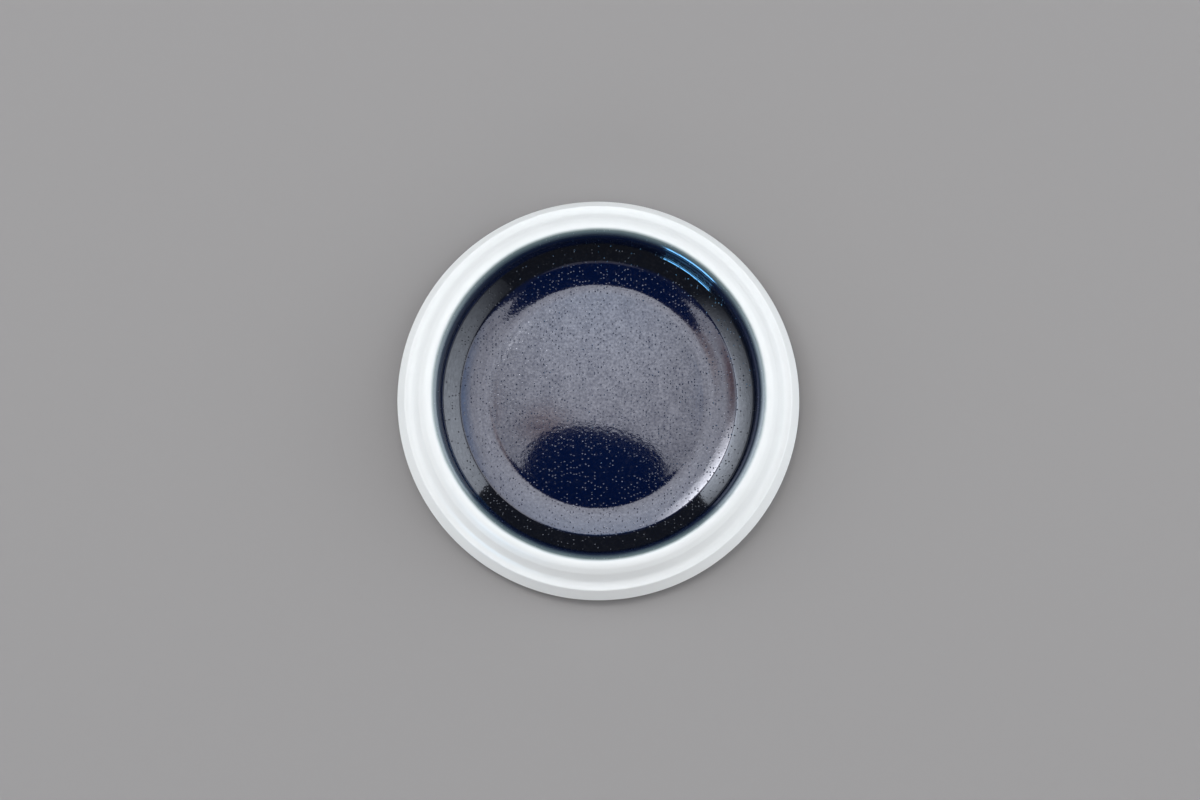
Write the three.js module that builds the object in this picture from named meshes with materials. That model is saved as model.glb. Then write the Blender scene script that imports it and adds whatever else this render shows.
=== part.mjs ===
// A small round porcelain plate: a deep well in dark blue glaze inside a thick, stepped white rim.
// One fired body carries three coats of glaze: blue in the well, clear over the rim and outside, and
// clear in the recess under the base. The ring that it stands on is left bare.
// Millimetres, +Z up, origin at the centre of the face that rests on the table.
import * as THREE from "three";

// Rim, from the widest edge up and inward
const OUTER_RADIUS = 60; // widest edge, at the bottom of the skirt
const EDGE_HEIGHT = 4; // widest edge above the table
const EDGE_ROUND = 1; // round under the skirt
const SKIRT_SLOPE = 65; // degrees from level
const SKIRT_RISE = 5.2; // height of the skirt's straight side
const STEP_ROUND = 0.6; // round at the top of the skirt
const LEDGE_SLOPE = 5;
const LEDGE_WIDTH = 0.4;
const RISER_COVE = 2.6; // hollow between the ledge and the riser
const RISER_SLOPE = 63;
const RISER_RISE = 3;
const RISER_ROUND = 3; // round where the riser eases into the shoulder
const SHOULDER_SLOPE = 48;
const SHOULDER_LENGTH = 1.5;
const CREST_ROUND = 2.6; // round from the shoulder to the crest of the lip

// Well, from the crest of the lip down and inward
const LIP_ROUND = 3; // round from the crest into the well
const WALL_SLOPE = 87;
const WALL_FILLET = 1.8; // tight hollow at the foot of the wall
const COVE_SLOPE = 36;
const COVE_RADIUS = 27;
const BEND_SLOPE = 26;
const BEND_RADIUS = 3; // crease where the wall's cove meets the floor
const FLARE_SLOPE = 11.5;
const FLARE_RADIUS = 56;
const VALLEY_SLOPE = 5;
const VALLEY_RADIUS = 20; // lowest ring of the floor
const DOME_SLOPE = 4.5; // the floor crowns up from the valley to the middle

// Base
const FLOOR_THICKNESS = 3.2;
const RECESS_DEPTH = 1.8; // under the base, at the foot ring
const RECESS_SLOPE = 4.5; // the recess crowns up to the middle as the floor does
const FOOT_INSET = 2; // foot ring's outer edge inside the well's wall
const FOOT_FLAT = 1.6; // width of the face that rests on the table
const FOOT_ROUND = 0.4;
const FOOT_FILLET = 1;
const FOOT_SLOPE = 65;

// Glaze
const BLUE_THICKNESS = 0.5;
const CLEAR_THICKNESS = 0.35;
const GLAZE_EDGE = 0.15; // every coat thins to this at its edge
const BLUE_TAPER = 3; // length over which the blue coat thins on the lip
const CLEAR_TAPER = 1.5;
const BLUE_LINE = 6; // slope of the lip, just inside its crest, where blue meets clear
const BARE_HEIGHT = 0.8; // glaze is wiped off the foot ring to this height

const TURN_SEGMENTS = 48;

const sin = (degrees) => Math.sin(THREE.MathUtils.degToRad(degrees));
const cos = (degrees) => Math.cos(THREE.MathUtils.degToRad(degrees));
const arcHeight = (radius, from, to) => radius * Math.abs(cos(from) - cos(to));
const arcWidth = (radius, from, to) => radius * Math.abs(sin(from) - sin(to));

// Draws the plate's section as a pencil would, in straight runs and arcs that flow into each other.
// Heading 0 points away from the axis and 90 points up. The clay is on the left of the line.
class Section {
  constructor(r, z, heading) {
    this.r = r;
    this.z = z;
    this.heading = heading;
    this.stations = [];
    this.mark();
  }

  mark() {
    this.stations.push({ r: this.r, z: this.z, heading: this.heading });
  }

  run(length) {
    this.r += length * cos(this.heading);
    this.z += length * sin(this.heading);
    this.mark();
    return this;
  }

  rise(height) {
    return this.run(height / sin(this.heading));
  }

  // Turns to a new heading along an arc, to the left or to the right as the heading grows or shrinks.
  turn(radius, heading, steps) {
    const from = this.heading;
    const side = Math.sign(heading - from);
    const centreR = this.r - side * radius * sin(from);
    const centreZ = this.z + side * radius * cos(from);
    for (let step = 1; step <= steps; step++) {
      this.heading = from + ((heading - from) * step) / steps;
      this.r = centreR + side * radius * sin(this.heading);
      this.z = centreZ - side * radius * cos(this.heading);
      this.mark();
    }
    return this;
  }
}

// Outside of the plate, from the widest edge up the skirt, over the step and on to the crest of the lip.
function drawRim() {
  return new Section(OUTER_RADIUS, EDGE_HEIGHT, 90)
    .turn(EDGE_ROUND, 180 - SKIRT_SLOPE, 1)
    .rise(SKIRT_RISE)
    .turn(STEP_ROUND, 180 - LEDGE_SLOPE, 3)
    .run(LEDGE_WIDTH)
    .turn(RISER_COVE, 180 - RISER_SLOPE, 4)
    .rise(RISER_RISE)
    .turn(RISER_ROUND, 180 - SHOULDER_SLOPE, 1)
    .run(SHOULDER_LENGTH)
    .turn(CREST_ROUND, 180, 4);
}

// Inside of the plate, from where the blue glaze starts on the lip down to the middle of the floor.
function drawWell(crest) {
  const floorHeight = RECESS_DEPTH + FLOOR_THICKNESS;
  const curves =
    arcHeight(LIP_ROUND, 0, WALL_SLOPE) +
    arcHeight(WALL_FILLET, WALL_SLOPE, COVE_SLOPE) +
    arcHeight(COVE_RADIUS, COVE_SLOPE, BEND_SLOPE) +
    arcHeight(BEND_RADIUS, BEND_SLOPE, FLARE_SLOPE) +
    arcHeight(FLARE_RADIUS, FLARE_SLOPE, VALLEY_SLOPE) +
    arcHeight(VALLEY_RADIUS, VALLEY_SLOPE, 0);
  const wallHeight = crest.z - floorHeight - curves;
  const lip = new Section(crest.r, crest.z, 180).turn(LIP_ROUND, 180 + BLUE_LINE, 1);
  const well = new Section(lip.r, lip.z, lip.heading)
    .turn(LIP_ROUND, 180 + WALL_SLOPE, 5)
    .rise(-wallHeight);
  const wallRadius = well.r;
  well
    .turn(WALL_FILLET, 180 + COVE_SLOPE, 2)
    .turn(COVE_RADIUS, 180 + BEND_SLOPE, 2)
    .turn(BEND_RADIUS, 180 + FLARE_SLOPE, 1)
    .turn(FLARE_RADIUS, 180 + VALLEY_SLOPE, 2)
    .turn(VALLEY_RADIUS, 180 - DOME_SLOPE, 3)
    .turn(well.r / sin(DOME_SLOPE), 180, 3);
  well.stations.at(-1).r = 0;
  return { stations: well.stations, wallRadius };
}

// Recess under the base, from the middle out to the glaze line on the foot ring's inner side.
function drawRecess(footRadius) {
  const filletHeight = arcHeight(FOOT_FILLET, RECESS_SLOPE, FOOT_SLOPE);
  const sideRun = (RECESS_DEPTH - filletHeight - BARE_HEIGHT) / sin(FOOT_SLOPE);
  const sideWidth = arcWidth(FOOT_FILLET, RECESS_SLOPE, FOOT_SLOPE) + sideRun * cos(FOOT_SLOPE);
  const ceilingRadius = footRadius - sideWidth;
  const crown = ceilingRadius / sin(RECESS_SLOPE);
  return new Section(0, RECESS_DEPTH + arcHeight(crown, 0, RECESS_SLOPE), 0)
    .turn(crown, -RECESS_SLOPE, 3)
    .turn(FOOT_FILLET, -FOOT_SLOPE, 3)
    .run(sideRun);
}

// Bare foot ring, between the glaze lines on its two sides.
function drawFoot(start) {
  const side = BARE_HEIGHT - arcHeight(FOOT_ROUND, FOOT_SLOPE, 0);
  return new Section(start.r, start.z, -FOOT_SLOPE)
    .rise(-side)
    .turn(FOOT_ROUND, 0, 2)
    .run(FOOT_FLAT)
    .turn(FOOT_ROUND, FOOT_SLOPE, 2)
    .rise(side);
}

// Hollow under the rim, from the glaze line on the foot ring's outer side to the widest edge.
function drawArch(start) {
  const springing = EDGE_HEIGHT - arcHeight(EDGE_ROUND, 90, FOOT_SLOPE);
  const archEnd = OUTER_RADIUS - EDGE_ROUND - arcWidth(EDGE_ROUND, 0, FOOT_SLOPE);
  const arch = new Section(start.r, start.z, FOOT_SLOPE).rise(springing - start.z);
  const archRadius = (archEnd - arch.r) / (2 * sin(FOOT_SLOPE));
  return arch.turn(archRadius, -FOOT_SLOPE, 6).turn(EDGE_ROUND, 90, 5);
}

// Width of the bare foot ring between its two glaze lines.
function footWidth() {
  const sideHeight = BARE_HEIGHT - arcHeight(FOOT_ROUND, FOOT_SLOPE, 0);
  const sideWidth = (sideHeight * cos(FOOT_SLOPE)) / sin(FOOT_SLOPE);
  return FOOT_FLAT + 2 * (sideWidth + arcWidth(FOOT_ROUND, FOOT_SLOPE, 0));
}

// Points under a coat of glaze. The coat thins towards each end that is an edge and not the axis.
function underGlaze(stations, thickness, taper) {
  const along = [0];
  for (let i = 1; i < stations.length; i++) {
    const step = Math.hypot(stations[i].r - stations[i - 1].r, stations[i].z - stations[i - 1].z);
    along.push(along[i - 1] + step);
  }
  const total = along.at(-1);
  return stations.map(({ r, z, heading }, i) => {
    const fromStart = stations[0].r > 0 ? along[i] : Infinity;
    const fromEnd = stations.at(-1).r > 0 ? total - along[i] : Infinity;
    const share = Math.min(1, fromStart / taper, fromEnd / taper);
    const depth = GLAZE_EDGE + (thickness - GLAZE_EDGE) * share;
    return new THREE.Vector2(r > 0 ? r - depth * sin(heading) : 0, z + depth * cos(heading));
  });
}

const onSurface = (stations) => stations.map(({ r, z }) => new THREE.Vector2(r, z));

// Turns a section round the plate's axis and stands the axis up along +Z.
function turned(name, section, color, roughness) {
  const geometry = new THREE.LatheGeometry(section, TURN_SEGMENTS).rotateX(Math.PI / 2);
  const mesh = new THREE.Mesh(geometry, new THREE.MeshStandardMaterial({ color, roughness, metalness: 0 }));
  mesh.name = name;
  return mesh;
}

const rim = drawRim();
const crest = rim.stations.at(-1);
const well = drawWell(crest);
const footOuter = well.wallRadius - FOOT_INSET;
const recess = drawRecess(footOuter - footWidth()).stations;
const foot = drawFoot(recess.at(-1)).stations;
const arch = drawArch(foot.at(-1)).stations;
const outside = [...arch, ...rim.stations.slice(1), well.stations[0]];

const underBlue = underGlaze(well.stations, BLUE_THICKNESS, BLUE_TAPER);
const underOutside = underGlaze(outside, CLEAR_THICKNESS, CLEAR_TAPER);
const underRecess = underGlaze(recess, CLEAR_THICKNESS, CLEAR_TAPER);
const bareFoot = onSurface(foot.slice(1, -1));

// The body runs under every coat, and comes to the surface only at the foot ring.
const bodySection = [...underRecess, ...bareFoot, ...underOutside, ...underBlue.slice(1)];
const blueSection = [...underBlue.toReversed(), ...onSurface(well.stations)];
const recessSection = [...onSurface(recess), ...underRecess.toReversed()];
const outsideRing = [...onSurface(outside), ...underOutside.toReversed()];
const outsideSection = [...outsideRing, outsideRing[0].clone()];

const plate = new THREE.Group();
plate.add(
  turned("porcelain_body", bodySection, 0xe9e6df, 0.75),
  turned("blue_well_glaze", blueSection, 0x0a1838, 0.08),
  turned("clear_rim_glaze", outsideSection, 0xeef1f2, 0.35),
  turned("clear_base_glaze", recessSection, 0xeef1f2, 0.35),
);

export default plate;
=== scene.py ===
# %% [markdown]
# # A small porcelain plate with a blue-glazed well
# This lesson dresses a CAD plate for the camera. The CAD model gives the true solids: one fired body and
# three coats of glaze. They are loaded as a fixed frame, and every piece made here sits in the same place,
# in metres, with the origin at the middle of the foot ring and +Z up.

# %% Load the frame
import math

import bpy
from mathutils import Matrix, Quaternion, Vector, noise


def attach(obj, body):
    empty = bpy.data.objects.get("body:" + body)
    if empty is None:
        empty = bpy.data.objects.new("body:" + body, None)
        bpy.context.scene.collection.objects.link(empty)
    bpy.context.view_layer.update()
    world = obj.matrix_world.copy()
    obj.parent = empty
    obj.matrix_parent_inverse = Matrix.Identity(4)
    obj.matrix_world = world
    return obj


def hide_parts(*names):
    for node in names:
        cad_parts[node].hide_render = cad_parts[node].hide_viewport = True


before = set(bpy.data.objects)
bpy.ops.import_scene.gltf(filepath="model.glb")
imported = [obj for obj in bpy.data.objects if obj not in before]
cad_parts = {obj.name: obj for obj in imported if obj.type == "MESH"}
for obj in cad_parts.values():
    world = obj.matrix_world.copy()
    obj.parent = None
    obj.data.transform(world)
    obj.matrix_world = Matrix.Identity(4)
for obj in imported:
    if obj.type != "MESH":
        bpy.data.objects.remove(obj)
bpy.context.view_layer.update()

MM = 0.001  # one millimetre, in metres
print("CAD nodes:", sorted(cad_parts))

# %% [markdown]
# ## The camera
# The plate is seen from almost straight above. Its rings are nearly circles, but each higher ring is pushed
# a little towards the back, which gives the tilt. A camera can be placed by eye, but here the tilt, the
# distance and the lens were solved from those rings, so the rim comes out the right width on every side.

# %% Camera
TILT = math.radians(7.3)  # away from straight down
DISTANCE = 0.560  # metres
AIM = Vector((0.0005, -0.0005, 0.004))  # metres: close to the middle of the plate
SENSOR_WIDTH, FOCAL_LENGTH = 36, 56.25  # mm, as on a full-frame camera
camera = bpy.data.objects.new("camera", bpy.data.cameras.new("camera"))
camera.data.sensor_width = SENSOR_WIDTH
camera.data.lens = FOCAL_LENGTH
camera.location = AIM + DISTANCE * Vector((0, -math.sin(TILT), math.cos(TILT)))
camera.rotation_euler = (TILT, 0, 0)
bpy.context.scene.collection.objects.link(camera)
bpy.context.scene.camera = camera
print("camera stands", round(camera.location.z, 3), "m above the table")

# %% [markdown]
# ## Drawing the section
# A potter forms a plate like this on a wheel or in a press with a profiled tool, so one section turned about
# the axis describes it all. The sizes are the plate's own, in millimetres, with slopes in degrees from level.
# A spline could be bent to the outline, but runs and arcs that flow into each other keep every round at a
# size that can be named and changed.

# %% Sizes of the plate
OUTER_RADIUS, EDGE_HEIGHT, EDGE_ROUND = 60, 4, 1  # widest edge, at the bottom of the skirt
SKIRT_SLOPE, SKIRT_RISE, STEP_ROUND = 65, 5.2, 0.6
LEDGE_SLOPE, LEDGE_WIDTH = 5, 0.4
RISER_COVE, RISER_SLOPE, RISER_RISE, RISER_ROUND = 2.6, 63, 3, 3
SHOULDER_SLOPE, SHOULDER_LENGTH, CREST_ROUND = 48, 1.5, 2.6
LIP_ROUND, WALL_SLOPE, WALL_FILLET = 3, 87, 1.8
COVE_SLOPE, COVE_RADIUS = 36, 27
BEND_SLOPE, BEND_RADIUS = 26, 3  # crease where the wall's cove meets the floor
FLARE_SLOPE, FLARE_RADIUS = 11.5, 56
VALLEY_SLOPE, VALLEY_RADIUS, DOME_SLOPE = 5, 20, 4.5  # lowest ring of the floor, and its crowned middle
FLOOR_THICKNESS, RECESS_DEPTH, RECESS_SLOPE = 3.2, 1.8, 4.5
FOOT_INSET, FOOT_FLAT, FOOT_ROUND, FOOT_FILLET, FOOT_SLOPE = 2, 1.6, 0.4, 1, 65
BLUE_LINE = 6  # slope of the lip, just inside its crest, where blue meets clear
BARE_HEIGHT = 0.8  # glaze is wiped off the foot ring to this height
print("the plate is", 2 * OUTER_RADIUS, "mm across")

# %% A pen that draws in runs and arcs
STATION_GAP, STATION_TURN = 0.45, 7  # longest step along the section, in mm and in degrees


def sin(degrees):
    return math.sin(math.radians(degrees))


def cos(degrees):
    return math.cos(math.radians(degrees))


class Section:
    """A line drawn in runs and arcs. Heading 0 points away from the axis, 90 up; the clay is on its left."""

    def __init__(self, r, z, heading):
        self.r, self.z, self.heading = r, z, heading
        self.stations = [(r, z, heading)]

    def run(self, length):
        start_r, start_z = self.r, self.z
        steps = max(1, math.ceil(length / STATION_GAP))
        for step in range(1, steps + 1):
            self.r = start_r + length * cos(self.heading) * step / steps
            self.z = start_z + length * sin(self.heading) * step / steps
            self.stations.append((self.r, self.z, self.heading))
        return self

    def rise(self, height):
        return self.run(height / sin(self.heading))

    def turn(self, radius, heading):
        start = self.heading
        side = math.copysign(1, heading - start)
        centre_r = self.r - side * radius * sin(start)
        centre_z = self.z + side * radius * cos(start)
        sweep = abs(heading - start)
        steps = math.ceil(max(sweep / STATION_TURN, math.radians(sweep) * radius / STATION_GAP))
        for step in range(1, steps + 1):
            self.heading = start + (heading - start) * step / steps
            self.r = centre_r + side * radius * sin(self.heading)
            self.z = centre_z - side * radius * cos(self.heading)
            self.stations.append((self.r, self.z, self.heading))
        return self


print("longest step along the section:", STATION_GAP, "mm")

# %% [markdown]
# ## The stretches of the line
# Starting at the widest edge, the line climbs the skirt, crosses the step and the riser and reaches the crest
# of the lip. From there it drops down the wall of the well and crosses the floor, which is lowest in a ring
# and crowns up to its middle. Underneath come the recess, the foot ring and the hollow under the rim. The
# heights could be typed in, but the wall's height and the foot's radii follow from the other sizes.

# %% Rim and lip
rim = (
    Section(OUTER_RADIUS, EDGE_HEIGHT, 90)
    .turn(EDGE_ROUND, 180 - SKIRT_SLOPE)
    .rise(SKIRT_RISE)
    .turn(STEP_ROUND, 180 - LEDGE_SLOPE)
    .run(LEDGE_WIDTH)
    .turn(RISER_COVE, 180 - RISER_SLOPE)
    .rise(RISER_RISE)
    .turn(RISER_ROUND, 180 - SHOULDER_SLOPE)
    .run(SHOULDER_LENGTH)
    .turn(CREST_ROUND, 180)
)
lip = Section(rim.r, rim.z, 180).turn(LIP_ROUND, 180 + BLUE_LINE)
print("crest of the lip at r", round(rim.r, 2), "z", round(rim.z, 2), "mm")

# %% Well
def arc_height(radius, start, end):
    return radius * abs(cos(start) - cos(end))


wall_height = rim.z - RECESS_DEPTH - FLOOR_THICKNESS - (
    arc_height(LIP_ROUND, 0, WALL_SLOPE)
    + arc_height(WALL_FILLET, WALL_SLOPE, COVE_SLOPE)
    + arc_height(COVE_RADIUS, COVE_SLOPE, BEND_SLOPE)
    + arc_height(BEND_RADIUS, BEND_SLOPE, FLARE_SLOPE)
    + arc_height(FLARE_RADIUS, FLARE_SLOPE, VALLEY_SLOPE)
    + arc_height(VALLEY_RADIUS, VALLEY_SLOPE, 0)
)
well = Section(lip.r, lip.z, lip.heading).turn(LIP_ROUND, 180 + WALL_SLOPE).rise(-wall_height)
wall_radius = well.r
well.turn(WALL_FILLET, 180 + COVE_SLOPE).turn(COVE_RADIUS, 180 + BEND_SLOPE)
well.turn(BEND_RADIUS, 180 + FLARE_SLOPE).turn(FLARE_RADIUS, 180 + VALLEY_SLOPE)
well.turn(VALLEY_RADIUS, 180 - DOME_SLOPE)
well.turn(well.r / sin(DOME_SLOPE), 180)
print("wall at r", round(wall_radius, 2), "mm, middle of the floor at z", round(well.z, 2), "mm")

# %% Recess, foot ring and hollow under the rim
def arc_width(radius, start, end):
    return radius * abs(sin(start) - sin(end))


foot_side = BARE_HEIGHT - arc_height(FOOT_ROUND, FOOT_SLOPE, 0)
foot_side_width = foot_side * cos(FOOT_SLOPE) / sin(FOOT_SLOPE) + arc_width(FOOT_ROUND, FOOT_SLOPE, 0)
foot_width = FOOT_FLAT + 2 * foot_side_width
inner_line = wall_radius - FOOT_INSET - foot_width
recess_drop = RECESS_DEPTH - arc_height(FOOT_FILLET, RECESS_SLOPE, FOOT_SLOPE) - BARE_HEIGHT
recess_run = recess_drop / sin(FOOT_SLOPE)
ceiling = inner_line - arc_width(FOOT_FILLET, RECESS_SLOPE, FOOT_SLOPE) - recess_run * cos(FOOT_SLOPE)
crown = ceiling / sin(RECESS_SLOPE)
recess = (
    Section(0, RECESS_DEPTH + arc_height(crown, 0, RECESS_SLOPE), 0)
    .turn(crown, -RECESS_SLOPE)
    .turn(FOOT_FILLET, -FOOT_SLOPE)
    .run(recess_run)
)
foot = (
    Section(recess.r, recess.z, -FOOT_SLOPE)
    .rise(-foot_side)
    .turn(FOOT_ROUND, 0)
    .run(FOOT_FLAT)
    .turn(FOOT_ROUND, FOOT_SLOPE)
    .rise(foot_side)
)
arch = Section(foot.r, foot.z, FOOT_SLOPE)
arch.rise(EDGE_HEIGHT - arc_height(EDGE_ROUND, 90, FOOT_SLOPE) - foot.z)
arch_end = OUTER_RADIUS - EDGE_ROUND - arc_width(EDGE_ROUND, 0, FOOT_SLOPE)
arch.turn((arch_end - arch.r) / (2 * sin(FOOT_SLOPE)), -FOOT_SLOPE).turn(EDGE_ROUND, 90)
outside = arch.stations + rim.stations[1:] + lip.stations[1:]
print("foot ring from r", round(recess.r, 2), "to", round(foot.r, 2), "mm")

# %% [markdown]
# ## Coats of glaze
# Glaze is glass that melts on to the clay and stays about as thick as it was poured, except at an edge,
# where it thins out. So a coat is the drawn surface, and under it a second line that is deeper by the coat's
# thickness. The body's own line runs under every coat and comes to the surface only at the foot ring.

# %% Lines under the glaze
BLUE_THICKNESS, CLEAR_THICKNESS, GLAZE_EDGE = 0.5, 0.35, 0.15  # mm, and the thickness left at an edge
BLUE_TAPER, CLEAR_TAPER = 3, 1.5  # length over which a coat thins to its edge
ON_AXIS = 1e-6  # a smaller radius counts as the axis, where a coat has no edge


def under_glaze(stations, thickness, taper):
    along = [0]
    for (r0, z0, _), (r1, z1, _) in zip(stations, stations[1:]):
        along.append(along[-1] + math.hypot(r1 - r0, z1 - z0))
    line = []
    for (r, z, heading), distance in zip(stations, along):
        share = 1
        if stations[0][0] > ON_AXIS:
            share = min(share, distance / taper)
        if stations[-1][0] > ON_AXIS:
            share = min(share, (along[-1] - distance) / taper)
        depth = GLAZE_EDGE + (thickness - GLAZE_EDGE) * share
        line.append((max(0, r - depth * sin(heading)), z + depth * cos(heading), heading))
    return line


under_blue = under_glaze(well.stations, BLUE_THICKNESS, BLUE_TAPER)
under_outside = under_glaze(outside, CLEAR_THICKNESS, CLEAR_TAPER)
under_recess = under_glaze(recess.stations, CLEAR_THICKNESS, CLEAR_TAPER)
print("stations: well", len(well.stations), "outside", len(outside), "recess", len(recess.stations))

# %% [markdown]
# ## Orange peel
# Molten glaze settles into a faint skin of dimples, like the peel of an orange. A bump map could fake that,
# but the relief decides how reflections break up, so it is given to the mesh itself, a few thousandths of a
# millimetre deep. It only ever dents the surface, so the plate keeps its size.

# %% Relief of the skin
DIMPLE_DEPTH, BLUE_DIMPLE, CLEAR_DIMPLE = 0.006, 1.4, 2.5  # mm: depth, and dimple size in each glaze


def skin(depth, pitch, edge):
    """Relief that dents a surface by up to depth, in dimples a pitch apart, and fades at the radius edge."""

    def dent(r, z, x, y):
        fade = min(1, abs(edge - r) / pitch)
        return -depth * fade * (0.5 + 0.5 * noise.noise(Vector((x, y, z)) / pitch))

    return dent


blue_skin = skin(DIMPLE_DEPTH, BLUE_DIMPLE, lip.r)
clear_skin = skin(DIMPLE_DEPTH, CLEAR_DIMPLE, lip.r)
print("dimples up to", DIMPLE_DEPTH, "mm deep")

# %% [markdown]
# ## Turning a section into a mesh
# Blender's Screw modifier can turn a profile, but it leaves a pinched pole and no way to add relief as it
# turns. Building the rings by hand is short: one ring of points per station, quads between neighbouring
# rings, and a fan of triangles where the line meets the axis.

# %% Turning
SHARP_ANGLE = math.radians(35)  # steeper edges than this stay crisp


def turned(name, line, segments, relief=None, relief_count=0):
    """Turns a closed line of stations. The first relief_count stations get the relief."""
    verts, rings = [], []
    for index, (r, z, heading) in enumerate(line):
        if r < ON_AXIS:
            rings.append([len(verts)] * segments)
            verts.append((0, 0, z * MM))
            continue
        rings.append(list(range(len(verts), len(verts) + segments)))
        for step in range(segments):
            angle = math.tau * step / segments
            c, s = math.cos(angle), math.sin(angle)
            push = relief(r, z, r * c, r * s) if relief and index < relief_count else 0
            pushed = r + push * sin(heading)
            verts.append((pushed * c * MM, pushed * s * MM, (z - push * cos(heading)) * MM))
    faces = []
    for low, high in zip(rings, rings[1:] + rings[:1]):
        for step in range(segments):
            after = (step + 1) % segments
            corners = tuple(dict.fromkeys((low[step], low[after], high[after], high[step])))
            if len(corners) > 2:
                faces.append(corners)
    mesh = bpy.data.meshes.new(name)
    mesh.from_pydata(verts, [], faces)
    mesh.validate()
    mesh.shade_smooth()
    mesh.set_sharp_from_angle(angle=SHARP_ANGLE)
    piece = bpy.data.objects.new(name, mesh)
    bpy.context.scene.collection.objects.link(piece)
    print(name, len(verts), "points", len(faces), "faces")
    return piece


# %% [markdown]
# ## The four pieces
# The body and each coat are separate closed meshes, as in the CAD model, and each takes the place of its CAD
# node. The two coats that meet on the lip have the same number of segments, so their edges match.

# %% Pieces
FINE_SEGMENTS, PLAIN_SEGMENTS = 480, 240

bare_line = under_recess + foot.stations[1:-1] + under_outside + under_blue[1:]
body = turned("fired_body", bare_line, PLAIN_SEGMENTS)
blue_coat = turned(
    "blue_glaze_coat", well.stations + under_blue[::-1], FINE_SEGMENTS, blue_skin, len(well.stations)
)
rim_coat = turned("rim_glaze_coat", outside + under_outside[::-1], FINE_SEGMENTS, clear_skin, len(outside))
base_coat = turned("base_glaze_coat", recess.stations + under_recess[::-1], PLAIN_SEGMENTS)

# %% [markdown]
# ## Colours and nodes
# Colours are written as sRGB hex, as they would be picked on a screen. Shaders work in linear light, so one
# function converts them. One more function adds a node with its settings and its links. Patterns are sized
# in millimetres, like the plate.

# %% Helpers for materials
MIX_A, MIX_B, MIX_RESULT = 6, 7, 2  # colour sockets of a Mix node


def linear(hex_colour):
    parts = [int(hex_colour[i : i + 2], 16) / 255 for i in (1, 3, 5)]
    return tuple(c / 12.92 if c <= 0.04045 else ((c + 0.055) / 1.055) ** 2.4 for c in parts) + (1,)


def add_node(tree, kind, inputs=None, **settings):
    made = tree.nodes.new("ShaderNode" + kind)
    for name, value in settings.items():
        setattr(made, name, value)
    for name, value in (inputs or {}).items():
        if isinstance(value, bpy.types.NodeSocket):
            tree.links.new(value, made.inputs[name])
        else:
            made.inputs[name].default_value = value
    return made


def new_material(name, roughness, ior):
    material = bpy.data.materials.new(name)
    material.use_nodes = True
    shader = material.node_tree.nodes["Principled BSDF"]
    shader.inputs["Roughness"].default_value = roughness
    shader.inputs["IOR"].default_value = ior
    return material, material.node_tree, shader


def per_metre(millimetres):
    """Texture scale that gives a pattern this many millimetres across."""
    return 1 / (millimetres * MM)


print("a pattern 1 mm across has a scale of", round(per_metre(1)))

# %% [markdown]
# ## Where the blue thins out
# Over the lip the blue glaze gets too thin to hide the white clay. Its colour runs from navy on the wall
# through slate to white at the crest, within about three millimetres. It could be painted as a mask, but the
# thickness follows the radius, so the tone does too. A slow wobble keeps the line from looking printed.
# The same ramp darkens the cove and the wall nearly to black, which is painted shade.

# %% Tone of the glaze by radius
# The near-black stretch from 41.6 to 46.1 mm, down the cove and the wall, is painted shade.
LIP_TONES = [  # radius in mm and tone: navy floor, near-black wall, slate where it thins, white crest
    (40.8, "#000D30"), (41.6, "#050914"), (46.1, "#050914"), (46.4, "#0A1532"), (46.8, "#0F1A33"),
    (47.2, "#212D3D"), (47.6, "#3F4D58"), (48.0, "#56666D"), (48.4, "#6A797C"), (48.7, "#97A3A5"),
    (48.95, "#C4CCCD"), (49.2, "#E2E7E8"), (49.6, "#EBEEEF"),
]
FADE_START, FADE_END = 40.0, 50.0  # mm: the ramp's two ends
OFF_CENTRE = (-0.2, -0.05, 0)  # mm: the poured edge isn't quite centred
WOBBLE_PITCH, WOBBLE = 9, 0.15  # mm


def radius_in_mm(tree):
    place = add_node(tree, "TexCoord").outputs["Object"]
    flat = add_node(
        tree, "VectorMath", {0: place, 1: (1 / MM, 1 / MM, 0), 2: OFF_CENTRE}, operation="MULTIPLY_ADD"
    )
    radius = add_node(tree, "VectorMath", {0: flat.outputs[0]}, operation="LENGTH")
    return place, radius.outputs["Value"]


def lip_tone(tree, place, radius):
    """The glaze's tone, with painted shade down the cove and wall, and the wobbling radius that it follows.
    """
    wobble = add_node(tree, "TexNoise", {"Vector": place, "Scale": per_metre(WOBBLE_PITCH), "Detail": 2})
    shift = add_node(tree, "MapRange", {"Value": wobble.outputs["Fac"], "To Min": -WOBBLE, "To Max": WOBBLE})
    where = add_node(tree, "Math", {0: radius, 1: shift.outputs["Result"]}, operation="ADD").outputs[0]
    share = add_node(tree, "MapRange", {"Value": where, "From Min": FADE_START, "From Max": FADE_END})
    ramp = add_node(tree, "ValToRGB", {"Fac": share.outputs["Result"]})
    stops = ramp.color_ramp.elements
    while len(stops) < len(LIP_TONES):
        stops.new(0.5)
    for stop, (r, tone) in zip(stops, LIP_TONES):
        stop.position = (r - FADE_START) / (FADE_END - FADE_START)
        stop.color = linear(tone)
    return ramp.outputs["Color"], where


print(len(LIP_TONES), "tones across the lip")

# %% [markdown]
# ## Blue glaze
# Cobalt gives the navy, and a glossy firing leaves a surface like dark glass: almost black where it mirrors
# something dark, lavender where it mirrors a soft light. A coat shader over a dark base could do that too,
# but one plain gloss with a high IOR is simpler and exports well. The tone comes first, with a few paler
# specks painted into it as glints.

# %% Cobalt glaze, poured and fired glossy
COBALT_IOR = 1.9  # above common glass at 1.5: matched to how bright the glaze mirrors
GLOSSY, SATIN = 0.06, 0.4  # roughness in the well, and where the coat runs out
DULL_START, DULL_END = 47.2, 49.4  # mm: radii between which gloss turns to satin
GLINT_PITCH, GLINT_RARITY, GLINT_TONE = 0.55, 6, 0.006  # mm, power of a random number, linear tone

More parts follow.
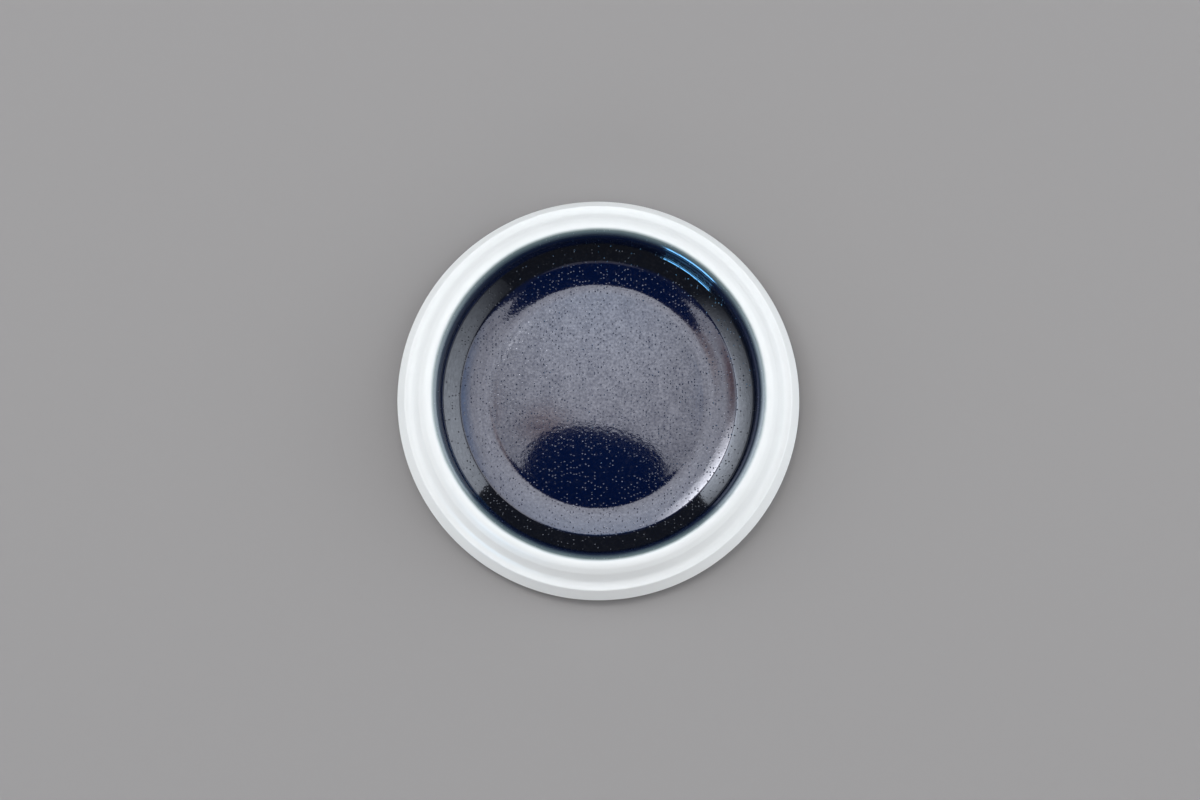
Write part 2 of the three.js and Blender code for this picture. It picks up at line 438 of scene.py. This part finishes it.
cobalt, tree, shader = new_material("cobalt_glaze_fired_glossy", GLOSSY, COBALT_IOR)
place, radius = radius_in_mm(tree)
tone, edge_radius = lip_tone(tree, place, radius)
# Pale specks painted into the base colour stand in for glints: a painted highlight.
painted_glint_cells = add_node(tree, "TexVoronoi", {"Vector": place, "Scale": per_metre(GLINT_PITCH)})
chance = add_node(tree, "SeparateColor", {"Color": painted_glint_cells.outputs["Color"]})
pale = add_node(tree, "Math", {0: chance.outputs[0], 1: GLINT_RARITY}, operation="POWER")
painted_glint = add_node(tree, "Math", {0: pale.outputs[0], 1: GLINT_TONE}, operation="MULTIPLY")
colour = add_node(tree, "VectorMath", {0: tone, 1: painted_glint.outputs[0]}, operation="ADD")
tree.links.new(colour.outputs[0], shader.inputs["Base Color"])
dulled = add_node(
    tree,
    "MapRange",
    {"Value": edge_radius, "From Min": DULL_START, "From Max": DULL_END, "To Min": GLOSSY, "To Max": SATIN},
)
print(cobalt.name, "turns satin between", DULL_START, "and", DULL_END, "mm from the axis")

# %% [markdown]
# ## Grain in the gloss
# Fine crystals in the fired glaze make it mirror a little more here and a little less there, so the lavender
# looks grainy and not like enamel paint. Roughness could vary instead, but then the reflections' edges would
# blur. The tint of the mirror varies, and is slightly blue all over.

# %% Grain of the mirror
COOL_MIRROR = linear("#EFF3FF")[:3]
GRAIN_PITCH, GRAIN_CONTRAST = 0.75, 0.3  # mm, coarser than life so that it shows, and share of the mirror
GRAIN_LOW, GRAIN_HIGH = 0.3, 0.7  # most of the noise lies between these
GRAIN_START, GRAIN_END, GRAIN_LEFT = 28, 42, 0.2  # mm: the grain runs out across the floor's edge, to a share

grain = add_node(tree, "TexNoise", {"Vector": place, "Scale": per_metre(GRAIN_PITCH), "Detail": 2})
gloss = add_node(
    tree,
    "MapRange",
    {
        "Value": grain.outputs["Fac"],
        "From Min": GRAIN_LOW,
        "From Max": GRAIN_HIGH,
        "To Min": -GRAIN_CONTRAST,
        "To Max": GRAIN_CONTRAST,
    },
)
inside = add_node(
    tree,
    "MapRange",
    {"Value": radius, "From Min": GRAIN_START, "From Max": GRAIN_END, "To Min": 1, "To Max": GRAIN_LEFT},
)
clouded = add_node(
    tree, "Math", {0: gloss.outputs["Result"], 1: inside.outputs["Result"], 2: 1}, operation="MULTIPLY_ADD"
)
mirror = add_node(tree, "VectorMath", {0: COOL_MIRROR, "Scale": clouded.outputs[0]}, operation="SCALE")
tree.links.new(mirror.outputs[0], shader.inputs["Specular Tint"])
print("grain", GRAIN_PITCH, "mm across")

# %% [markdown]
# ## Pits and ripple
# Small pits are left where bubbles burst in the kiln. Each pit tips the surface and has a rough bottom, so it
# sparkles inside a dark reflection and shows dark inside a bright one. Pits could be cut into the mesh, but
# there are thousands of them, each narrower than a mesh face, so they are relief in the material. A shallow
# ripple between them makes the reflections' edges uneven.

# %% Pits and ripple of the cobalt glaze
PIT_PITCH, PIT_RADIUS, PIT_DEPTH = 0.9, 0.22, 0.2  # mm, a little wider than life so that they show
PIT_RARITY = 8  # power of a random number, so that deep pits are rare
PIT_ROUGHNESS = 0.4  # added at the bottom of a deep pit
PIT_BOTTOM, PIT_BRINK = 0.5, 0.9  # shares of the radius: rough inside the first, glossy outside the second
RIPPLE_PITCH, RIPPLE_DEPTH = 0.9, 0.006  # mm
SMOOTH_START, SMOOTH_END = 44.5, 46.5  # mm: pits and ripple run out up the wall

cells = add_node(
    tree, "TexVoronoi", {"Vector": place, "Scale": per_metre(PIT_PITCH)}, voronoi_dimensions="2D"
)
away = cells.outputs["Distance"]
pit_reach = PIT_RADIUS / PIT_PITCH
chance = add_node(tree, "SeparateColor", {"Color": cells.outputs["Color"]})
steep = add_node(tree, "Math", {0: chance.outputs[0], 1: PIT_RARITY}, operation="POWER")
pit = add_node(
    tree, "MapRange", {"Value": away, "From Max": pit_reach, "To Min": -PIT_DEPTH * MM, "To Max": 0}
)
pits = add_node(tree, "Math", {0: pit.outputs["Result"], 1: steep.outputs[0]}, operation="MULTIPLY")
core = add_node(
    tree,
    "MapRange",
    {
        "Value": away,
        "From Min": PIT_BOTTOM * pit_reach,
        "From Max": PIT_BRINK * pit_reach,
        "To Min": PIT_ROUGHNESS,
        "To Max": 0,
    },
)
bottom = add_node(tree, "Math", {0: core.outputs["Result"], 1: steep.outputs[0]}, operation="MULTIPLY")
matt = add_node(tree, "Math", {0: bottom.outputs[0], 1: dulled.outputs["Result"]}, operation="ADD")
tree.links.new(matt.outputs[0], shader.inputs["Roughness"])
ripple = add_node(tree, "TexNoise", {"Vector": place, "Scale": per_metre(RIPPLE_PITCH), "Detail": 1})
relief = add_node(
    tree,
    "Math",
    {0: ripple.outputs["Fac"], 1: RIPPLE_DEPTH * MM, 2: pits.outputs[0]},
    operation="MULTIPLY_ADD",
)
floor = add_node(
    tree,
    "MapRange",
    {"Value": radius, "From Min": SMOOTH_START, "From Max": SMOOTH_END, "To Min": 1, "To Max": 0},
)
height = add_node(tree, "Math", {0: relief.outputs[0], 1: floor.outputs["Result"]}, operation="MULTIPLY")
bump = add_node(tree, "Bump", {"Height": height.outputs[0], "Distance": 1, "Strength": 1})
tree.links.new(bump.outputs["Normal"], shader.inputs["Normal"])
blue_coat.data.materials.append(cobalt)
print(cobalt.name, "with pits", PIT_PITCH, "mm apart")

# %% [markdown]
# ## Clear glaze on white porcelain
# The rim, the outside and the recess carry a clear satin glaze. It shows the white clay under it, with soft
# highlights and no mirror image. It could be a glass shell over white, but the coat is so thin that the
# clay's colour under a satin gloss looks the same. The faint variation in tone and gloss is what keeps a
# white plate from looking like plastic.

# %% Clear glaze, dipped and fired satin
GLAZE_IOR = 1.5  # common glass
CLOUD_PITCH, CLOUD_CONTRAST = 12, 0.03  # mm, and share of the tone
SHEEN_PITCH, SHEEN_LOW, SHEEN_HIGH = 4, 0.34, 0.46  # mm, and range of roughness
RUFFLE_PITCH, RUFFLE_DEPTH = 0.8, 0.004  # mm


def clear_glaze(name, blue_edge):
    material, tree, shader = new_material(name, SATIN, GLAZE_IOR)
    place, radius = radius_in_mm(tree)
    cloud = add_node(tree, "TexNoise", {"Vector": place, "Scale": per_metre(CLOUD_PITCH), "Detail": 3})
    value = add_node(
        tree,
        "MapRange",
        {"Value": cloud.outputs["Fac"], "To Min": 1 - CLOUD_CONTRAST, "To Max": 1 + CLOUD_CONTRAST},
    )
    white = lip_tone(tree, place, radius)[0] if blue_edge else linear(LIP_TONES[-1][1])[:3]
    colour = add_node(tree, "VectorMath", {0: white, "Scale": value.outputs["Result"]}, operation="SCALE")
    tree.links.new(colour.outputs[0], shader.inputs["Base Color"])
    sheen = add_node(tree, "TexNoise", {"Vector": place, "Scale": per_metre(SHEEN_PITCH), "Detail": 4})
    satin = add_node(
        tree, "MapRange", {"Value": sheen.outputs["Fac"], "To Min": SHEEN_LOW, "To Max": SHEEN_HIGH}
    )
    tree.links.new(satin.outputs["Result"], shader.inputs["Roughness"])
    ruffle = add_node(tree, "TexNoise", {"Vector": place, "Scale": per_metre(RUFFLE_PITCH), "Detail": 2})
    height = add_node(tree, "MapRange", {"Value": ruffle.outputs["Fac"], "To Max": RUFFLE_DEPTH * MM})
    bump = add_node(tree, "Bump", {"Height": height.outputs["Result"], "Distance": 1, "Strength": 1})
    tree.links.new(bump.outputs["Normal"], shader.inputs["Normal"])
    print(name, "made")
    return material


rim_coat.data.materials.append(clear_glaze("clear_rim_glaze_fired_satin", True))
base_coat.data.materials.append(clear_glaze("clear_base_glaze_fired_satin", False))

# %% [markdown]
# ## Bare porcelain
# The foot ring is wiped clean of glaze, or it would stick to the kiln shelf. Fired clay without glaze is
# matt, slightly warm and gritty. Displaced grit would cost many faces for a ring that mostly lies on the
# table, so noise gives both its tone and its relief. The grit is drawn at a quarter of a millimetre, coarser
# than life, so that it still shows from a hand's distance.

# %% Bare porcelain, fired without glaze
GRIT, GRIT_DEPTH, BARE_ROUGHNESS = 0.25, 0.02, 0.8  # mm, mm, and as matt as fired clay
SHADED_CLAY, PALE_CLAY = linear("#D9D3C6"), linear("#F0ECE3")

bare, tree, shader = new_material("bare_porcelain_fired", BARE_ROUGHNESS, GLAZE_IOR)
place = add_node(tree, "TexCoord").outputs["Object"]
grain = add_node(tree, "TexNoise", {"Vector": place, "Scale": per_metre(GRIT), "Detail": 3})
clay = add_node(
    tree, "Mix", {"Factor": grain.outputs["Fac"], MIX_A: SHADED_CLAY, MIX_B: PALE_CLAY}, data_type="RGBA"
)
tree.links.new(clay.outputs[MIX_RESULT], shader.inputs["Base Color"])
height = add_node(tree, "MapRange", {"Value": grain.outputs["Fac"], "To Max": GRIT_DEPTH * MM})
bump = add_node(tree, "Bump", {"Height": height.outputs["Result"], "Distance": 1, "Strength": 1})
tree.links.new(bump.outputs["Normal"], shader.inputs["Normal"])
body.data.materials.append(bare)
print(bare.name, "with grit of", GRIT, "mm")

# %% [markdown]
# ## Fitting the pieces to the frame
# Each piece rides on the CAD body and hides the CAD node that it stands for.

# %% Frame
for piece, node, slot in [
    (body, "porcelain_body", "porcelain"),
    (blue_coat, "blue_well_glaze", "blue_glaze"),
    (rim_coat, "clear_rim_glaze", "rim_glaze"),
    (base_coat, "clear_base_glaze", "base_glaze"),
]:
    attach(piece, "root")
    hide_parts(node)
    print(piece.name, "stands for", node)

# %% [markdown]
# ## Table
# The plate stands on a plain grey table with a matt coat of paint. A curved backdrop would hide the horizon,
# but a plane that is large enough to fill the view from any side does the same with one face.

# %% Table
TABLE_SIZE = 30  # metres
PAINT_IOR, PAINT_ROUGHNESS = 1.45, 0.9

bpy.ops.mesh.primitive_plane_add(size=TABLE_SIZE)
table = bpy.context.object
table.name = "table"
paint, _, shader = new_material("matt_grey_paint", PAINT_ROUGHNESS, PAINT_IOR)
shader.inputs["Base Color"].default_value = linear("#989696")
table.data.materials.append(paint)
print(table.name, "is", TABLE_SIZE, "m wide")

# %% [markdown]
# ## Soft boxes
# Dark gloss shows nothing but what it mirrors, so most lamps are placed for their reflections. An area lamp
# is even all over, but a real soft box is brighter near its bulb, and its silk is never quite even. Both
# show in a mirror like this one, so a lamp here can fade from a hot place, through a faint noise. Its
# strength is written as radiance: white clay under a full sky of radiance 1 renders as it is written.

# %% Silk
SILK_PITCH, SILK_CONTRAST = 0.06, 0.3  # metres, and share of the light
SILK_LOW, SILK_HIGH = 0.25, 0.75  # most of the noise lies between these


def silk_light(tree, size, radiance, hot):
    """Light that fades from its brightest, at the hot place, to its edge level over a reach in metres."""
    brightest, edge, reach = radiance
    across = add_node(tree, "NewGeometry").outputs["Parametric"]
    centred = add_node(tree, "VectorMath", {0: across, 1: hot + (0,)}, operation="SUBTRACT")
    metres = add_node(tree, "VectorMath", {0: centred.outputs[0], 1: size + (0,)}, operation="MULTIPLY")
    away = add_node(tree, "VectorMath", {0: metres.outputs[0]}, operation="LENGTH").outputs["Value"]
    level = add_node(
        tree,
        "MapRange",
        {"Value": away, "From Max": reach, "To Min": brightest, "To Max": edge},
        interpolation_type="SMOOTHSTEP",
    )
    silk = add_node(tree, "TexNoise", {"Vector": metres.outputs[0], "Scale": 1 / SILK_PITCH, "Detail": 1})
    uneven = add_node(
        tree,
        "MapRange",
        {
            "Value": silk.outputs["Fac"],
            "From Min": SILK_LOW,
            "From Max": SILK_HIGH,
            "To Min": 1 - SILK_CONTRAST,
            "To Max": 1 + SILK_CONTRAST,
        },
    )
    levels = {0: level.outputs["Result"], 1: uneven.outputs["Result"]}
    return add_node(tree, "Math", levels, operation="MULTIPLY").outputs[0]


print("silk uneven by", SILK_CONTRAST, "of its light")

# %% A soft box
DAYLIGHT, COOL, WARM = (1.01, 0.99, 0.985), (0.96, 1.01, 1.045), (1.1, 1, 0.92)
BLUE, SKY = (0.3, 0.9, 1.5), (0.1, 0.9, 1.8)


def soft_box(
    name, place, size, radiance, aim=None, tint=DAYLIGHT, hot=(0.5, 0.5), mirrored=True, lights=True, roll=0
):
    """A lamp that points at aim, or else straight down. Radiance is a number or (brightest, edge, reach)."""
    width, height = size
    lamp = bpy.data.lights.new(name, "AREA")
    lamp.shape = "RECTANGLE"
    lamp.size, lamp.size_y = width, height
    lamp.color = [c / max(tint) for c in tint]
    lamp.energy = max(tint) * math.pi * width * height
    if isinstance(radiance, tuple):
        lamp.use_nodes = True
        strength = silk_light(lamp.node_tree, size, radiance, hot)
        lamp.node_tree.links.new(strength, lamp.node_tree.nodes["Emission"].inputs["Strength"])
    else:
        lamp.energy *= radiance
    holder = bpy.data.objects.new(name, lamp)
    holder.location = place
    target = aim or (place[0], place[1], 0)
    facing = (Vector(target) - Vector(place)).to_track_quat("-Z", "Y")
    holder.rotation_euler = (facing @ Quaternion((0, 0, 1), math.radians(roll))).to_euler()
    holder.visible_camera = False
    holder.visible_glossy = mirrored
    holder.visible_diffuse = lights
    bpy.context.scene.collection.objects.link(holder)
    print(name, round(lamp.energy, 1), "W")


# %% [markdown]
# ## Lamps
# The floor of the well mirrors what is overhead, so a wide graded box hangs there, with two plain ones behind
# it. The wall mirrors what stands at the sides, so a cooler box stands on each side, while the front stays
# dark. Small lamps add single reflections: a hot one the pale streak at lower right, a strip a touch of sky
# blue, a warm strip a faint brown at the back, and a blue pane the bright lines at upper right. The white rim
# then needs more light, but more boxes would show in the glaze, so four fills are set not to be mirrored.

# %% Large boxes
HEIGHT, REACH = 2.4, 1.46  # metres: up to the boxes overhead, and out to those at the sides
RIGHT_MIDDLE, LEFT_MIDDLE = (0, 0, 1.15), (0, 0.14, 1.2)  # points over the plate that they face
RIGHT_PLACE, LEFT_PLACE = (REACH, 0, 1.15), (-REACH, 0.14, 1.2)

soft_box("overhead_box", (0, 0.53, HEIGHT), (2.4, 1.36), (2.6, 1.4, 1.1), hot=(0.5, 0.56))
soft_box("left_back_box", (-1.1, 1.0, HEIGHT), (0.7, 0.9), 1.6)
soft_box("right_back_box", (0.9, 1.4, HEIGHT), (0.8, 0.4), 1.6)
soft_box("right_box", RIGHT_PLACE, (3, 2.3), (2.35, 0.1, 2.4), aim=RIGHT_MIDDLE, tint=COOL, hot=(0.75, 0.43))
soft_box("left_box", LEFT_PLACE, (3.28, 2.4), (4.2, 0, 2.2), aim=LEFT_MIDDLE, tint=COOL, hot=(0.27, 0.83))

# %% Small lamps
PLATE = (0, 0, 0)
STREAK_PLACE, STREAK_ROLL = (-0.535, 0.684, 2.076), 16  # metres and degrees
SKY_PLACE = (0, 0.8, HEIGHT - 0.05)  # just under the overhead box

soft_box(
    "streak_box", STREAK_PLACE, (0.76, 0.37), (10.5, 0, 0.46), aim=PLATE, hot=(0.5, 0.1), roll=STREAK_ROLL
)
soft_box("sky_strip", SKY_PLACE, (1.9, 1.1), (0.24, 0, 0.9), tint=SKY, hot=(0.5, 0.75), lights=False)
soft_box("front_strip", (0.05, -0.95, HEIGHT), (0.7, 0.9), 0.25, tint=WARM)
soft_box("blue_pane", (-1.03, -1.23, 0.4), (0.66, 0.46), 9, aim=PLATE, tint=BLUE, lights=False)

# %% Fills that the glaze doesn't mirror
FILL_HEIGHT = 0.6
for name, place, width, radiance in [
    ("front_fill", (0, -1.6, 0.6), 2.4, 2.1),
    ("back_fill", (0, 1.6, 0.4), 2.4, 0.8),
    ("left_fill", (-1.6, -0.2, 0.5), 1.6, 2),
    ("right_fill", (1.6, -0.3, 0.5), 1.6, 1.6),
]:
    soft_box(name, place, (width, FILL_HEIGHT), radiance, aim=PLATE, mirrored=False)

# %% [markdown]
# ## Flag and gauzes
# A black flag hangs under the overhead box and is mirrored twice: as the dark oval on the crowned middle of
# the floor, and as the dark crescent at the back. Three discs of gauze tint the light that is mirrored
# through them: brown at the floor's right edge, tan above the oval, blue at the left edge. Coloured lamps
# could do that, but they would add light to the rim as well, and a gauze only takes some away. The camera
# sees none of them.

# %% Flag
FLAG_HALF_WIDTH, FLAG_HALF_DEPTH, FLAG_SQUARENESS = 0.375, 0.285, 2.5
FLAG_PLACE, FLAG_TURN = (-0.02, -0.137, HEIGHT - 0.1), -10  # metres and degrees


def hang(name, outline, place, material):
    sheet = bpy.data.meshes.new(name)
    sheet.from_pydata(outline, [], [tuple(range(len(outline)))])
    sheet.materials.append(material)
    holder = bpy.data.objects.new(name, sheet)
    holder.location = place
    holder.visible_camera = False
    bpy.context.scene.collection.objects.link(holder)
    print(name, "hangs at", [round(v, 3) for v in place])
    return holder


def rounded(half_width, half_depth, squareness, count=96):
    """An ellipse at squareness 2, closer to a rectangle above that."""
    outline = []
    for step in range(count):
        c, s = math.cos(math.tau * step / count), math.sin(math.tau * step / count)
        stretch = (abs(c) ** squareness + abs(s) ** squareness) ** (-1 / squareness)
        outline.append((half_width * c * stretch, half_depth * s * stretch, 0))
    return outline


velvet, _, shader = new_material("black_velvet", 1, PAINT_IOR)
shader.inputs["Base Color"].default_value = linear("#0A0A0A")
flag = hang("flag", rounded(FLAG_HALF_WIDTH, FLAG_HALF_DEPTH, FLAG_SQUARENESS), FLAG_PLACE, velvet)
flag.rotation_euler = (0, 0, math.radians(FLAG_TURN))

# %% Gauzes
GAUZE_HEIGHT = HEIGHT - 0.15
NO_THREAD = linear("#FFFFFF")


def gauze(name, tone, radius, x, y, stretch):
    """A disc of net that tints what is mirrored through it, and thins out to nothing at its edge."""
    net, tree, _ = new_material(name + "_net", 1, PAINT_IOR)
    spot = add_node(tree, "TexCoord").outputs["Object"]
    away = add_node(tree, "VectorMath", {0: spot}, operation="LENGTH").outputs["Value"]
    clear = add_node(tree, "MapRange", {"Value": away, "From Max": radius}, interpolation_type="SMOOTHSTEP")
    tones = {"Factor": clear.outputs["Result"], MIX_A: linear(tone), MIX_B: NO_THREAD}
    thread = add_node(tree, "Mix", tones, data_type="RGBA")
    veil = add_node(tree, "BsdfTransparent", {"Color": thread.outputs[MIX_RESULT]})
    tree.links.new(veil.outputs[0], tree.nodes["Material Output"].inputs["Surface"])
    disc = hang(name, rounded(radius, radius, 2), (x, y, GAUZE_HEIGHT), net)
    disc.scale = (1, stretch, 1)


gauze("brown_gauze", "#B89784", 0.22, -0.65, 0.2, 1.6)
gauze("tan_gauze", "#D1C0B5", 0.21, -0.27, 0.15, 0.8)
gauze("blue_gauze", "#C2D7F3", 0.29, 0.71, 0.34, 2.5)

# %% [markdown]
# ## Room
# Beyond the lamps the room is nearly dark, so that the glaze stays deep where it mirrors no lamp. A black
# world would make those places dead, and even a dim room gives a little light back.

# %% Room
world = bpy.data.worlds.new("dim_room")
bpy.context.scene.world = world
world.use_nodes = True
room = world.node_tree.nodes["Background"]
room.inputs["Color"].default_value = linear("#3F3E3D")
room.inputs["Strength"].default_value = 1
bpy.context.scene.view_settings.view_transform = "Standard"
print(world.name, "under", len(bpy.data.lights), "lamps")
